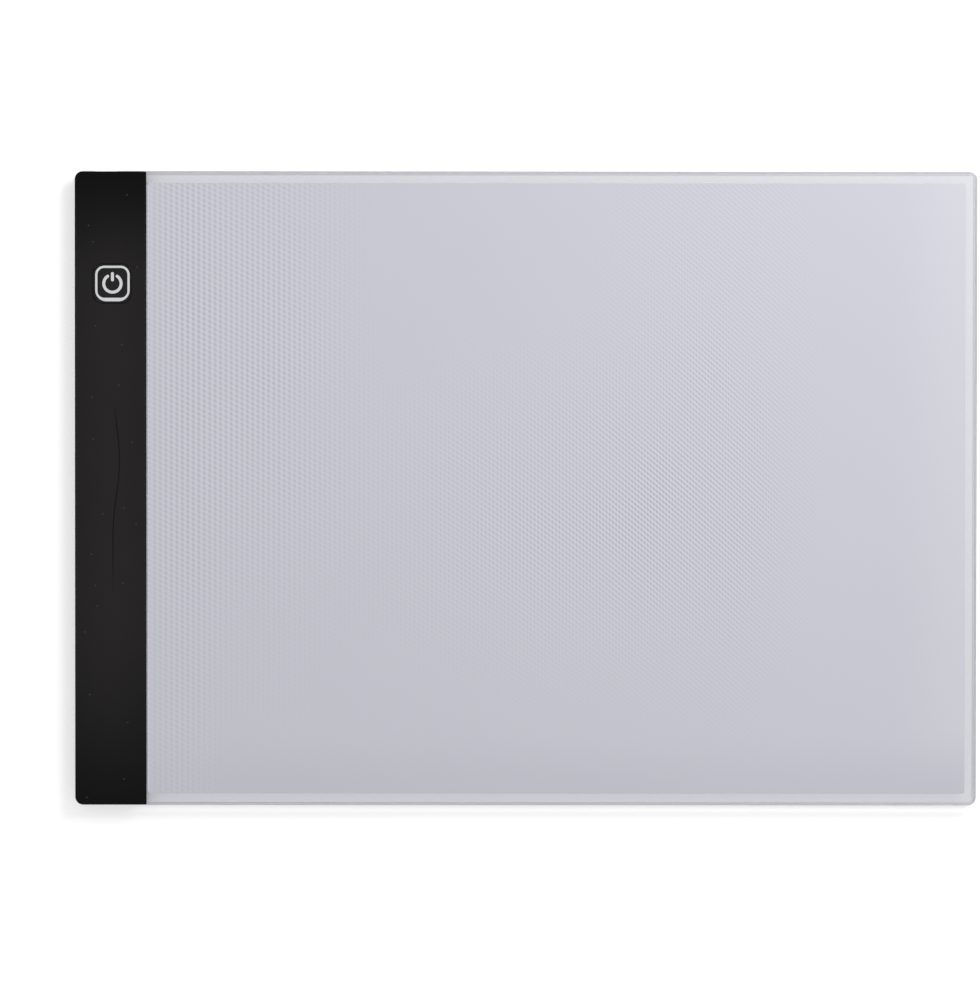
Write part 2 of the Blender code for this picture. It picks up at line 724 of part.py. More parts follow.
def make_usb_tongue():
    back = SOCKET_BACK + SOCKET_SHEET + GLUE_GAP
    step = back + TONGUE_BLOCK_DEPTH
    tip = SOCKET_MOUTH - TONGUE_SETBACK
    block_inset = SOCKET_SHEET + GLUE_GAP

    def tongue_ring(y):
        return socket_ring(
            y, TONGUE_WIDTH, TONGUE_THICKNESS, TONGUE_CORNER, TONGUE_CORNER, rise=TONGUE_RISE
        )

    rings = (
        shell_ring(back, block_inset), shell_ring(step, block_inset), tongue_ring(step), tongue_ring(tip)
    )
    solid("usb_tongue", rings, black_resin())


# LEDs and the wires that feed them


def make_led_board():
    end = LED_BOARD_HALF_LENGTH
    edges = (LED_BOARD_LEFT, -end, LED_BOARD_RIGHT, end)
    levels = ((LAYER_BOTTOM, 0), (LED_BOARD_TOP, 0))
    radii = all_corners(GLUE_GAP)
    plate("led_board", edges, radii, levels, white_laminate())


def led_ring(x, inset, y):
    half_length, half_height = LED_LENGTH / 2 - inset, LED_HEIGHT / 2 - inset
    corners = ((-1, -1), (1, -1), (1, 1), (-1, 1))
    return [(x, y + side * half_length, GUIDE_MIDDLE + up * half_height) for side, up in corners]


def make_leds():
    """Each LED is a white cup that opens towards the light guide's entry face."""
    pitch = LED_BOARD_HALF_LENGTH * 2 / LED_COUNT
    back = LED_FRONT - LED_DEPTH
    for count in range(LED_COUNT):
        y = (count - (LED_COUNT - 1) / 2) * pitch
        rings = (
            led_ring(back, 0, y),
            led_ring(LED_FRONT, 0, y),
            led_ring(LED_FRONT, LED_RIM, y),
            led_ring(LED_FRONT - LED_CUP_DEPTH, LED_RIM + LED_CUP_TAPER, y),
        )
        solid(f"led_{count + 1:02d}", rings, led_housing())


def make_wire(name, y, material):
    """A wire that lies on the control board and runs to the LED board's back."""
    radius = WIRE_DIAMETER / 2
    lying = BOARD_TOP + GLUE_GAP + radius
    start, end = BOARD_RIGHT - WIRE_ON_BOARD, LED_BOARD_LEFT - GLUE_GAP
    bridge = end - BOARD_RIGHT
    route = (
        (start, lying),
        (BOARD_RIGHT, lying),
        (BOARD_RIGHT + bridge / 3, lying + WIRE_RISE),
        (end - bridge / 3, lying + WIRE_RISE),
        (end, lying + WIRE_RISE),
    )
    curve = bpy.data.curves.new(name, "CURVE")
    curve.dimensions = "3D"
    curve.bevel_depth = radius
    curve.bevel_resolution = WIRE_RESOLUTION
    curve.use_fill_caps = True
    spline = curve.splines.new("POLY")
    spline.points.add(len(route) - 1)
    for point, (x, z) in zip(spline.points, route):
        point.co = Vector((x, y, z, 1))
    curve.materials.append(material)
    bpy.context.scene.collection.objects.link(bpy.data.objects.new(name, curve))


def make_wires():
    first = BOARD_FRONT + WIRE_FROM_BOARD_END
    make_wire("wire_negative", first, wire_black())
    make_wire("wire_positive", first + WIRE_SPACING, wire_red())


def main():
    clear_scene()
    make_feet()
    make_back_cover()
    make_adhesive_frame()
    make_reflector_sheet()
    make_board_tape()
    make_light_guide()
    make_front_film()
    make_strip_cover()
    make_power_key()
    make_switch_body()
    make_switch_plunger()
    make_control_board()
    make_driver_chip()
    make_transistor()
    make_small_parts()
    make_usb_shell()
    make_usb_tongue()
    make_led_board()
    make_leds()
    make_wires()


main()
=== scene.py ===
"""Finishes of an A4 LED tracing pad: an edge-lit acrylic panel with a black strip at its left."""

from math import cos, e, pi, radians, sin

import bmesh
import bpy
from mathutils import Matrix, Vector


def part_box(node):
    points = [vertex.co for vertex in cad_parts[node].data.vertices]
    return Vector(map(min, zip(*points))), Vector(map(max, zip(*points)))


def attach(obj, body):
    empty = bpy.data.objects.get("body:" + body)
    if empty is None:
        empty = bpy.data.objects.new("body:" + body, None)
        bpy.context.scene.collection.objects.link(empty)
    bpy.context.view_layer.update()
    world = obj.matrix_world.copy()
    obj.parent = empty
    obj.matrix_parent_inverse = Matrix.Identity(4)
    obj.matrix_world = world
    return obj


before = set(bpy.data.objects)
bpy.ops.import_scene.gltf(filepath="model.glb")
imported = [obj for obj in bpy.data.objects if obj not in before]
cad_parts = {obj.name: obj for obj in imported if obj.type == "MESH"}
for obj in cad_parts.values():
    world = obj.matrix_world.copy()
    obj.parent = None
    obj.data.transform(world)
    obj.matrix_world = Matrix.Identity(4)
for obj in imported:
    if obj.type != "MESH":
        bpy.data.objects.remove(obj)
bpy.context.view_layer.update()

# The table, the light and the camera. The pad lies face up on a white table and is seen
# almost straight from above. A soft lamp hangs to the upper right, so the face is a little
# brighter there and the thin shadow falls to the lower left.

ROOM_STRENGTH = 0.67  # of the white room as a light, against 1.0 where it shows
LAMP_PLACE = (0.45, 0.53, 0.5)  # m
LAMP_SIDE = 0.3  # m
LAMP_POWER = 3.3  # W
TABLE_HALF = 4.0  # m
LIFT_NEAR, LIFT_FAR = 0.3, 0.42  # the light that the table adds to its own white
LIFT_FROM, LIFT_TO = 0.3, 0.8  # m from the pad's middle, between which it grows
LENS, SENSOR_WIDTH = 98.956, 36.0  # mm
NEAREST_SEEN = 0.05  # m
CAMERA_PLACE = (-0.0137, 0.0109, 1.0)  # m
CAMERA_TURN = (-0.666, -0.027, 0.049)  # degrees


def hex_colour(value):
    """A colour written as an sRGB hex value, as the linear colour that a shader takes."""
    channels = [channel / 255 for channel in bytes.fromhex(value)]
    linear = [c / 12.92 if c <= 0.04045 else ((c + 0.055) / 1.055) ** 2.4 for c in channels]
    return (*linear, 1.0)


def feed(tree, node, sockets):
    """Feeds a node's inputs, each from a value, a hex colour, an output, or a node's own output."""
    for name, source in sockets.items():
        if isinstance(source, bpy.types.Node):
            source = next(output for output in source.outputs if output.enabled)
        if isinstance(source, bpy.types.NodeSocket):
            tree.links.new(source, node.inputs[name])
        elif isinstance(source, str):
            node.inputs[name].default_value = hex_colour(source)
        else:
            node.inputs[name].default_value = source


def add(tree, kind, sockets=None, **settings):
    """Adds a node with its settings, and feeds its inputs."""
    node = tree.nodes.new(kind)
    for name, value in settings.items():
        setattr(node, name, value)
    feed(tree, node, sockets or {})
    return node


def seen_directly(tree):
    """1 for a ray that shows the background itself: to the camera, in a mirror or through glass."""
    path = add(tree, "ShaderNodeLightPath").outputs
    mirrored = add(
        tree, "ShaderNodeMath", {0: path["Is Camera Ray"], 1: path["Is Glossy Ray"]}, operation="MAXIMUM"
    )
    return add(
        tree, "ShaderNodeMath", {0: mirrored, 1: path["Is Transmission Ray"]}, operation="MAXIMUM"
    )


def light_the_room():
    world = bpy.data.worlds.new("white_room")
    world.use_nodes = True
    tree = world.node_tree
    tree.nodes.clear()
    lighting = add(tree, "ShaderNodeBackground", {"Color": "FFFFFF", "Strength": ROOM_STRENGTH})
    backdrop = add(tree, "ShaderNodeBackground", {"Color": "FFFFFF", "Strength": 1.0})
    mixed = add(tree, "ShaderNodeMixShader", {0: seen_directly(tree), 1: lighting, 2: backdrop})
    add(tree, "ShaderNodeOutputWorld", {"Surface": mixed})
    bpy.context.scene.world = world
    lamp = bpy.data.objects.new("soft_lamp", bpy.data.lights.new("soft_lamp", "AREA"))
    lamp.data.shape = "SQUARE"
    lamp.data.size = LAMP_SIDE
    lamp.data.energy = LAMP_POWER
    lamp.location = LAMP_PLACE
    lamp.rotation_mode = "QUATERNION"
    lamp.rotation_quaternion = lamp.location.to_track_quat("Z", "Y")
    bpy.context.scene.collection.objects.link(lamp)


def table_paint():
    # Flat white paint without gloss. It reads as white paper, a little brighter far from the pad.
    paint = bpy.data.materials.new("white_table_paint")
    paint.use_nodes = True
    tree = paint.node_tree
    tree.nodes.clear()
    body = add(tree, "ShaderNodeBsdfDiffuse", {"Color": "F7F7F7"})
    place = add(tree, "ShaderNodeTexCoord").outputs["Object"]
    from_pad = add(tree, "ShaderNodeVectorMath", {0: place}, operation="LENGTH")
    strength = add(
        tree, "ShaderNodeMapRange",
        {
            "Value": from_pad, "From Min": LIFT_FROM, "From Max": LIFT_TO,
            "To Min": LIFT_NEAR, "To Max": LIFT_FAR,
        },
    )
    lift = add(tree, "ShaderNodeEmission", {"Color": "FFFFFF", "Strength": strength})
    dark = add(tree, "ShaderNodeEmission", {"Strength": 0.0})
    seen = add(tree, "ShaderNodeMixShader", {0: seen_directly(tree), 1: dark, 2: lift})
    both = add(tree, "ShaderNodeAddShader", {0: body, 1: seen})
    add(tree, "ShaderNodeOutputMaterial", {"Surface": both})
    return paint


def lay_the_table():
    corners = [(x * TABLE_HALF, y * TABLE_HALF, 0) for x, y in ((-1, -1), (1, -1), (1, 1), (-1, 1))]
    mesh = bpy.data.meshes.new("table_top")
    mesh.from_pydata(corners, [], [(0, 1, 2, 3)])
    mesh.materials.append(table_paint())
    table = bpy.data.objects.new("table_top", mesh)
    bpy.context.scene.collection.objects.link(table)


def place_camera():
    camera = bpy.data.objects.new("camera", bpy.data.cameras.new("camera"))
    camera.data.lens = LENS
    camera.data.sensor_width = SENSOR_WIDTH
    camera.data.clip_start = NEAREST_SEEN
    camera.location = CAMERA_PLACE
    camera.rotation_euler = [radians(angle) for angle in CAMERA_TURN]
    bpy.context.scene.collection.objects.link(camera)
    bpy.context.scene.camera = camera


light_the_room()
lay_the_table()
place_camera()
bpy.context.scene.view_settings.view_transform = "Standard"

# The back cover: a die-cut sheet of white polystyrene, stuck under the acrylic with tape.
# Rolled sheet has a fine satin grain, and handling leaves it a little uneven in gloss.

MIX_SHARE, MIX_BELOW, MIX_ABOVE = 0, 6, 7  # the inputs of a colour mix, which share their names


def new_material(name):
    """A material, its tree, and its shader, which is on the output already."""
    made = bpy.data.materials.new(name)
    made.use_nodes = True
    tree = made.node_tree
    return made, tree, tree.nodes["Principled BSDF"]


def lay_over(material, share, colour):
    """Lays one more colour over the material's own where the share is 1."""
    tree = material.node_tree
    shader = tree.nodes["Principled BSDF"]
    base = shader.inputs["Base Color"]
    below = base.links[0].from_socket if base.links else tuple(base.default_value)
    mixed = add(
        tree, "ShaderNodeMix", {MIX_SHARE: share, MIX_BELOW: below, MIX_ABOVE: colour},
        data_type="RGBA",
    )
    feed(tree, shader, {"Base Color": mixed})


def mottled(name, cloud, tones, roughness, grit=None, stretch=None, **inputs):
    """A material whose tone and gloss follow a cloud of lumps, and its height a grit.

    cloud gives the size in mm of the largest lumps and their detail, and grit its depth in mm
    too. stretch draws both out along the axis on which it is small.
    """
    made, tree, shader = new_material(name)
    place = add(tree, "ShaderNodeTexCoord").outputs["Object"]
    if stretch:
        place = add(tree, "ShaderNodeMapping", {"Vector": place, "Scale": stretch})
    size, detail = cloud
    lumps = add(tree, "ShaderNodeTexNoise", {"Vector": place, "Scale": 1000 / size, "Detail": detail})
    gloss = add(
        tree, "ShaderNodeMapRange", {"Value": lumps, "To Min": roughness[0], "To Max": roughness[1]}
    )
    if grit:
        size, detail, depth = grit
        grains = add(
            tree, "ShaderNodeTexNoise", {"Vector": place, "Scale": 1000 / size, "Detail": detail}
        )
        inputs["Normal"] = add(tree, "ShaderNodeBump", {"Height": grains, "Distance": depth / 1000})
    feed(tree, shader, {"Base Color": tones[0], "Roughness": gloss, **inputs})
    lay_over(made, lumps, tones[1])
    return made


def dress(material, *nodes):
    """Gives carried-over pieces their finish."""
    for name in nodes:
        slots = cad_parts[name].data.materials
        slots.clear()
        slots.append(material)


# Clean satin white. The grain is drawn coarser than it is, so that it shows.
polystyrene = mottled(
    "rolled_polystyrene_sheet", cloud=(30, 2), tones=("E6E7EA", "EEEFF1"), roughness=(0.42, 0.58),
    grit=(0.4, 4, 0.02), IOR=1.59,
)
dress(polystyrene, "back_cover")

# Rubber feet: four punched discs of black rubber with their own adhesive, set in shallow
# recesses of the back cover. Rubber scatters light softly and shows a fine speckle.

# Soft matt black, dusty rather than deep. The speckle is drawn coarser than it is.
foot_rubber = mottled(
    "punched_black_rubber", cloud=(0.6, 3), tones=("252527", "333335"), roughness=(0.72, 0.92),
    grit=(0.3, 3, 0.03), IOR=1.52,
)
dress(foot_rubber, "foot_1", "foot_2", "foot_3", "foot_4")

# The thin layer under the acrylic: white double-sided tape all round the edge, which shows
# through the clear rim as a pale band, a glossy white reflector inside it, and one more
# strip of tape under the control board. The tape's outer edge at the back and right is
# painted grey, as painted shade for the rim's dark line.

RIM_SHADE_MARGIN = 0.0008  # m, how far in from its edge the tape is greyed


def inside(tree, *edges):
    """1 inside soft edges, each given as a value, where it is fully inside and where it is out."""
    falls = [
        add(
            tree, "ShaderNodeMapRange", {"Value": value, "From Min": out, "From Max": full},
            interpolation_type="SMOOTHSTEP",
        )
        for value, full, out in edges
    ]
    share = falls[0]
    for fall in falls[1:]:
        share = add(tree, "ShaderNodeMath", {0: share, 1: fall}, operation="MULTIPLY")
    return share


def foam_tape():
    # Flat bright white with fine pores, which are drawn coarser than they are, and a grey
    # outer edge at the back and right, which is painted shade for the rim's dark line.
    made = mottled(
        "white_foam_tape", cloud=(0.5, 3), tones=("EAEBEA", "F3F3F2"), roughness=(0.6, 0.8),
        grit=(0.5, 3, 0.02),
    )
    tree = made.node_tree
    _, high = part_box("adhesive_frame")
    place = add(tree, "ShaderNodeTexCoord").outputs["Object"]
    along = add(tree, "ShaderNodeSeparateXYZ", {0: place}).outputs
    right, back = (
        inside(tree, (along[axis], high[axis], high[axis] - RIM_SHADE_MARGIN)) for axis in (0, 1)
    )
    # Painted shade: the tape's outer edge at the back and right is greyed to stand for the rim's dark
    # line.
    painted_rim_shade = add(tree, "ShaderNodeMath", {0: right, 1: back}, operation="MAXIMUM")
    lay_over(made, painted_rim_shade, "C8C9CA")
    return made


# Brilliant white with a slight sheen.
reflector_film = mottled(
    "white_reflector_film", cloud=(20, 2), tones=("F3F4F6", "F8F8FA"), roughness=(0.28, 0.4),
    IOR=1.57,
)
dress(foam_tape(), "adhesive_frame", "board_tape")
dress(reflector_film, "reflector_sheet")

# The light guide: 3 mm cast acrylic, laser cut, with a milled bay and a chamfered rim. Its
# faces are glass clear. The cut edges and the chamfer are frosted by fine upright tool marks,
# and their pale grey colour is partly painted shade, so the rim reads as a grey line round the pale
# border.

FACE_LEAN, EDGE_LEAN = 0.95, 0.65  # the normal's rise, above which it is a face, and an edge below
UPRIGHT_LEAN = 0.3  # the normal's rise, below which the side is upright
FACE_ROUGHNESS, EDGE_ROUGHNESS = 0.02, 0.4
EDGE_CLEARNESS = 0.4  # of an upright side, against 1.0 on a face
TOOL_MARK_SPACING = 0.3  # mm, drawn coarser than it is, so that it shows
TOOL_MARK_DEPTH = 0.00002  # m
TOOL_MARK_STRETCH = (1.0, 1.0, 0.05)
TOOL_MARK_STRENGTH = 0.6


def let_lamps_through(tree, surface, shade):
    """Rays to a lamp and from matt surfaces pass straight through, dimmed by the shade."""
    for ray in ("Is Shadow Ray", "Is Diffuse Ray"):
        clear = add(tree, "ShaderNodeBsdfTransparent", {"Color": shade})
        path = add(tree, "ShaderNodeLightPath").outputs
        surface = add(tree, "ShaderNodeMixShader", {0: path[ray], 1: surface, 2: clear})
    feed(tree, tree.nodes["Material Output"], {"Surface": surface})


def cast_acrylic():
    # Clear as glass on its faces, and frosted on what the tool has cut, whose pale grey is partly
    # painted shade.
    made, tree, shader = new_material("cast_acrylic_with_milled_edges")
    coordinates = add(tree, "ShaderNodeTexCoord").outputs
    rise = add(tree, "ShaderNodeSeparateXYZ", {0: coordinates["Normal"]}).outputs["Z"]
    flat = add(tree, "ShaderNodeMath", {0: rise}, operation="ABSOLUTE")
    edge = add(
        tree, "ShaderNodeMapRange", {"Value": flat, "From Min": FACE_LEAN, "From Max": EDGE_LEAN}
    )
    frost = add(
        tree, "ShaderNodeMapRange",
        {"Value": edge, "To Min": FACE_ROUGHNESS, "To Max": EDGE_ROUGHNESS},
    )
    clearness = add(tree, "ShaderNodeMapRange", {"Value": flat, "To Min": EDGE_CLEARNESS})
    upright = add(
        tree, "ShaderNodeMapping", {"Vector": coordinates["Object"], "Scale": TOOL_MARK_STRETCH}
    )
    marks = add(
        tree, "ShaderNodeTexNoise",
        {"Vector": upright, "Scale": 1000 / TOOL_MARK_SPACING, "Detail": 2.0},
    )
    cut = add(tree, "ShaderNodeMapRange", {"Value": edge, "To Max": TOOL_MARK_STRENGTH})
    relief = add(
        tree, "ShaderNodeBump", {"Height": marks, "Distance": TOOL_MARK_DEPTH, "Strength": cut}
    )
    feed(
        tree, shader,
        {
            "Base Color": "F6F6F8", "Roughness": frost, "Transmission Weight": clearness,
            "Normal": relief, "IOR": 1.49,
        },
    )
    # The edges' pale grey is partly painted shade, standing for the dark line that the rim's optics
    # give.
    lay_over(made, edge, "D6D7DA")
    # Light that comes down through the face can't leave by the upright sides, so the table
    # beside them lies in shade.
    behind = add(tree, "ShaderNodeNewGeometry").outputs["Backfacing"]
    steep = add(tree, "ShaderNodeMath", {0: flat, 1: UPRIGHT_LEAN}, operation="LESS_THAN")
    front = add(tree, "ShaderNodeMath", {0: 1.0, 1: behind}, operation="SUBTRACT")
    held_back = add(tree, "ShaderNodeMath", {0: steep, 1: front}, operation="MULTIPLY")
    shade = add(
        tree, "ShaderNodeMix", {MIX_SHARE: held_back, MIX_BELOW: "F8F8FA", MIX_ABOVE: "505052"},
        data_type="RGBA",
    )
    let_lamps_through(tree, shader, shade)
    return made


dress(cast_acrylic(), "light_guide")

# The LED board: a 0.8 mm strip of white-masked laminate, standing on edge in the slot. Each
# LED is a white moulded cup, 3 mm long, filled with yellow phosphor that faces the acrylic,
# and is held by a joint of solder at each end.

LED_COUNT = 24
LED_WINDOW = (0.0025, 0.00095)  # m, along the board and up
LED_WINDOW_RADIUS = 0.0002
PHOSPHOR_THICKNESS = 0.0003
PHOSPHOR_BACKSET = 0.00005  # behind the cup's rim
LED_JOINT_SIZE = (0.0003, 0.00035, 0.0005)
MERGING_DISTANCE = 0.000001  # m


def planned(name, sizes):
    """A Geometry Nodes tree with a named input for each size, and its input node's outputs."""
    tree = bpy.data.node_groups.new(name, "GeometryNodeTree")
    kinds = {int: "NodeSocketInt", float: "NodeSocketFloat", tuple: "NodeSocketVector"}
    for size, value in sizes.items():
        tree.interface.new_socket(size, in_out="INPUT", socket_type=kinds[type(value)])
    tree.interface.new_socket("finish", in_out="INPUT", socket_type="NodeSocketMaterial")
    tree.interface.new_socket("result", in_out="OUTPUT", socket_type="NodeSocketGeometry")
    return tree, add(tree, "NodeGroupInput").outputs


def grown(name, tree, given, shape, sizes, material):
    """Ends the tree with its shape, runs it with the sizes and keeps the result as a plain mesh."""
    real = add(tree, "GeometryNodeRealizeInstances", {"Geometry": shape})
    dressed = add(tree, "GeometryNodeSetMaterial", {"Geometry": real, "Material": given["finish"]})
    add(tree, "NodeGroupOutput", {0: dressed})
    piece = bpy.data.objects.new(name, bpy.data.meshes.new(name))
    bpy.context.scene.collection.objects.link(piece)
    modifier = piece.modifiers.new(name, "NODES")
    modifier.node_group = tree
    values = {**sizes, "finish": material}
    for item in tree.interface.items_tree:
        if item.in_out == "INPUT":
            modifier[item.identifier] = values[item.name]
    evaluated = piece.evaluated_get(bpy.context.evaluated_depsgraph_get())
    mesh = bpy.data.meshes.new_from_object(evaluated)
    piece.modifiers.remove(modifier)
    piece.data = mesh
    return piece


def row_of(tree, given, part, turn=(0.0, 0.0, 0.0)):
    """The part at each point of an even row."""
    line = add(
        tree, "GeometryNodeMeshLine",
        {"Count": given["count"], "Start Location": given["first"], "Offset": given["step"]},
        mode="OFFSET",
    )
    return add(
        tree, "GeometryNodeInstanceOnPoints", {"Points": line, "Instance": part, "Rotation": turn}
    )


def rounded_slab(tree, given):
    """A slab with rounded corners, which rises from z = 0 by its thickness."""
    outline = add(
        tree, "GeometryNodeCurvePrimitiveQuadrilateral",
        {"Width": given["width"], "Height": given["height"]},
    )
    rounded = add(
        tree, "GeometryNodeFilletCurve",
        {"Curve": outline, "Radius": given["radius"], "Count": 4}, mode="POLY",
    )
    face = add(tree, "GeometryNodeFillCurve", {"Curve": rounded}, mode="NGONS")
    risen = add(
        tree, "GeometryNodeExtrudeMesh",
        {"Mesh": face, "Offset Scale": given["thickness"], "Individual": False},
    )
    under = add(tree, "GeometryNodeFlipFaces", {"Mesh": face})
    joined = add(tree, "GeometryNodeJoinGeometry")
    for part in (risen, under):
        feed(tree, joined, {0: part})
    return add(
        tree, "GeometryNodeMergeByDistance", {"Geometry": joined, "Distance": MERGING_DISTANCE}
    )


def rests_in(piece, body="pad"):
    """Hangs a new piece on the body that carries it."""
    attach(piece, body)


# Creamy white skin with a low gloss, over a weave that is drawn coarser than it is.
white_solder_mask = mottled(
    "white_solder_mask", cloud=(0.8, 3), tones=("E2E3DF", "EDEDEA"), roughness=(0.35, 0.5),
    grit=(0.8, 3, 0.01),
)
# Warm white moulded plastic, smooth and only a little glossy.
led_cup_plastic = mottled(
    "moulded_led_cup", cloud=(1, 2), tones=("EFECE0", "F6F3EA"), roughness=(0.45, 0.6)
)
# A soft yellow gel with grains of phosphor in it, so it looks a little cloudy.
phosphor_silicone = mottled(
    "phosphor_in_silicone", cloud=(0.4, 3), tones=("DDBB3A", "E9CC58"), roughness=(0.3, 0.45),
    grit=(0.4, 3, 0.01), IOR=1.41,
)
# Bright grey metal whose highlights are soft, because it froze in grains. They are drawn
# coarser than they are.
solder = mottled(
    "reflowed_solder", cloud=(0.2, 3), tones=("B9BABC", "CBCCCE"), roughness=(0.25, 0.42),
    grit=(0.2, 3, 0.008), Metallic=1.0,
)


def solder_row(name, count, first, step, half_size):
    """An even row of low rounded joints, half of each inside what it sits on, as one piece."""
    sizes = {"count": count, "first": first, "step": step, "half size": half_size}
    tree, given = planned("solder_joint_row", sizes)
    ball = add(tree, "GeometryNodeMeshUVSphere", {"Segments": 12, "Rings": 8, "Radius": 1.0})
    smooth = add(tree, "GeometryNodeSetShadeSmooth", {"Geometry": ball})
    joint = add(tree, "GeometryNodeTransform", {"Geometry": smooth, "Scale": given["half size"]})
    joints = row_of(tree, given, joint)
    rests_in(grown(name, tree, given, joints, sizes, solder))


led_nodes = [f"led_{number:02d}" for number in range(1, LED_COUNT + 1)]
dress(white_solder_mask, "led_board")
dress(led_cup_plastic, *led_nodes)

low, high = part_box(led_nodes[0])
second_low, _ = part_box(led_nodes[1])
led_step = (0.0, second_low.y - low.y, 0.0)
led_middle = (low + high) / 2
window_sizes = {
    "count": LED_COUNT,
    "first": (high.x - PHOSPHOR_BACKSET - PHOSPHOR_THICKNESS, led_middle.y, led_middle.z),
    "step": led_step,
    "width": LED_WINDOW[1],
    "height": LED_WINDOW[0],
    "radius": LED_WINDOW_RADIUS,
    "thickness": PHOSPHOR_THICKNESS,
}
tree, given = planned("phosphor_row", window_sizes)
windows = row_of(tree, given, rounded_slab(tree, given), turn=(0.0, pi / 2, 0.0))
rests_in(grown("led_phosphor", tree, given, windows, window_sizes, phosphor_silicone))

for side, end in (("front", low.y), ("back", high.y)):
    solder_row(f"led_solder_{side}", LED_COUNT, (low.x, end, led_middle.z), led_step, LED_JOINT_SIZE)

# The control board: green-masked laminate, held by its own tape in the milled bay. It
# carries a driver chip and a transistor on bent tinned legs, two resistors, one capacitor
# and the key's switch, all soldered, and two soft wires lead from it to the LED board.

BOARD_WEAVE = 0.8  # mm, drawn coarser than it is, so that it shows
BOARD_TRACE_PITCH = 0.0012  # m, between the lines that the copper leaves under the mask
BOARD_TRACE_BEND, BOARD_TRACE_WANDER = 6, 4.0  # mm between bends, and pitches from side to side
COPPER_FROM, COPPER_TO = 0.26, 0.32  # pitches from a gap's middle, where a line rises to its full
COPPER_RISE = 0.00003  # m
CHIP_BODY_WIDTH = 0.0039
TRANSISTOR_BODY_WIDTH = 0.0014
END_CAP_SHARE = 0.36  # of a small part's length, from its middle to where the tin begins
CHIP_LEG_COUNT = 4
CHIP_LEG_PITCH = 0.00127
CHIP_JOINT_SIZE = (0.00035, 0.0003, 0.00016)
SMALL_JOINT_SIZE = (0.0006, 0.00022, 0.00022)
SPECKLE = (0.3, 3)  # mm and detail, drawn coarser than it is, so that it shows
SPECKLE_GRIT = (0.3, 3, 0.01)  # the same, and its depth in mm
BODY_SPREAD = 0.15  # between the least and the most roughness of a part's body
TIN_SMOOTHNESS = 0.6  # the share of that spread by which tin is smoother than the body


def green_solder_mask():
    # Glossy green over a woven laminate, paler where lines of copper lie under it.
    made, tree, shader = new_material("green_solder_mask")
    place = add(tree, "ShaderNodeTexCoord").outputs["Object"]
    weave, bends = [
        add(tree, "ShaderNodeTexNoise", {"Vector": place, "Scale": 1000 / size, "Detail": detail})
        for size, detail in ((BOARD_WEAVE, 3), (BOARD_TRACE_BEND, 0))
    ]
    wander = add(tree, "ShaderNodeMath", {0: bends, 1: BOARD_TRACE_WANDER}, operation="MULTIPLY")
    across = add(tree, "ShaderNodeSeparateXYZ", {0: place}).outputs["X"]
    lines = add(
        tree, "ShaderNodeMath", {0: across, 1: 1 / BOARD_TRACE_PITCH, 2: wander},
        operation="MULTIPLY_ADD",
    )
    ridge = add(tree, "ShaderNodeMath", {0: lines, 1: 0.5}, operation="PINGPONG")
    copper = add(
        tree, "ShaderNodeMapRange", {"Value": ridge, "From Min": COPPER_FROM, "From Max": COPPER_TO}
    )
    gloss = add(tree, "ShaderNodeMapRange", {"Value": weave, "To Min": 0.28, "To Max": 0.4})
    relief = add(tree, "ShaderNodeBump", {"Height": copper, "Distance": COPPER_RISE})
    feed(tree, shader, {"Base Color": "154A2F", "Roughness": gloss, "Normal": relief})
    lay_over(made, copper, "226645")
    return made


def with_tinned_ends(name, node, axis, reach, tones, rough):
    """A part whose body is of two near tones, and which is bright smooth tin past its reach."""
    made = mottled(
        name, cloud=SPECKLE, tones=tones, roughness=(rough, rough + BODY_SPREAD),
        grit=SPECKLE_GRIT,
    )
    tree = made.node_tree
    shader = tree.nodes["Principled BSDF"]
    low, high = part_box(node)
    middle = (low[axis] + high[axis]) / 2
    place = add(tree, "ShaderNodeTexCoord").outputs["Object"]
    along = add(tree, "ShaderNodeSeparateXYZ", {0: place}).outputs[axis]
    from_middle = add(tree, "ShaderNodeMath", {0: along, 1: middle}, operation="SUBTRACT")
    off = add(tree, "ShaderNodeMath", {0: from_middle}, operation="ABSOLUTE")
    tin = add(tree, "ShaderNodeMath", {0: off, 1: reach}, operation="GREATER_THAN")
    lay_over(made, tin, "C6C7C9")
    gloss = shader.inputs["Roughness"].links[0].from_node
    speckle = gloss.inputs["Value"].links[0].from_socket
    smoother = add(
        tree, "ShaderNodeMath", {0: tin, 1: -TIN_SMOOTHNESS, 2: speckle}, operation="MULTIPLY_ADD"
    )
    feed(tree, gloss, {"Value": smoother})
    feed(tree, shader, {"Metallic": tin})
    return made


dress(green_solder_mask(), "control_board")
_, board_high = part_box("control_board")

# Dull black epoxy between bright tinned legs.
for node, name, body_width in (
    ("driver_chip", "epoxy_chip_with_tinned_legs", CHIP_BODY_WIDTH),
    ("transistor", "epoxy_transistor_with_tinned_legs", TRANSISTOR_BODY_WIDTH),
):
    dress(with_tinned_ends(name, node, 0, body_width / 2, ("19191B", "242426"), 0.5), node)

low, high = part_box("driver_chip")
first_leg = (low.y + high.y) / 2 - CHIP_LEG_PITCH * (CHIP_LEG_COUNT - 1) / 2
for side, edge in (("left", low.x), ("right", high.x)):
    first, step = (edge, first_leg, board_high.z), (0.0, CHIP_LEG_PITCH, 0.0)
    solder_row(f"chip_solder_{side}", CHIP_LEG_COUNT, first, step, CHIP_JOINT_SIZE)

# Glazed black resistors and a fired tan capacitor, each with two bright ends.
for node, name, tones in (
    ("resistor_a", "glazed_resistor_a", ("202026", "2C2C34")),
    ("resistor_b", "glazed_resistor_b", ("202026", "2C2C34")),
    ("capacitor", "fired_ceramic_capacitor", ("9C8060", "B09272")),
):
    low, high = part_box(node)
    dress(with_tinned_ends(name, node, 1, (high.y - low.y) * END_CAP_SHARE, tones, 0.25), node)
    first, step = ((low.x + high.x) / 2, low.y, board_high.z), (0.0, high.y - low.y, 0.0)
    solder_row(f"{node}_solder", 2, first, step, SMALL_JOINT_SIZE)

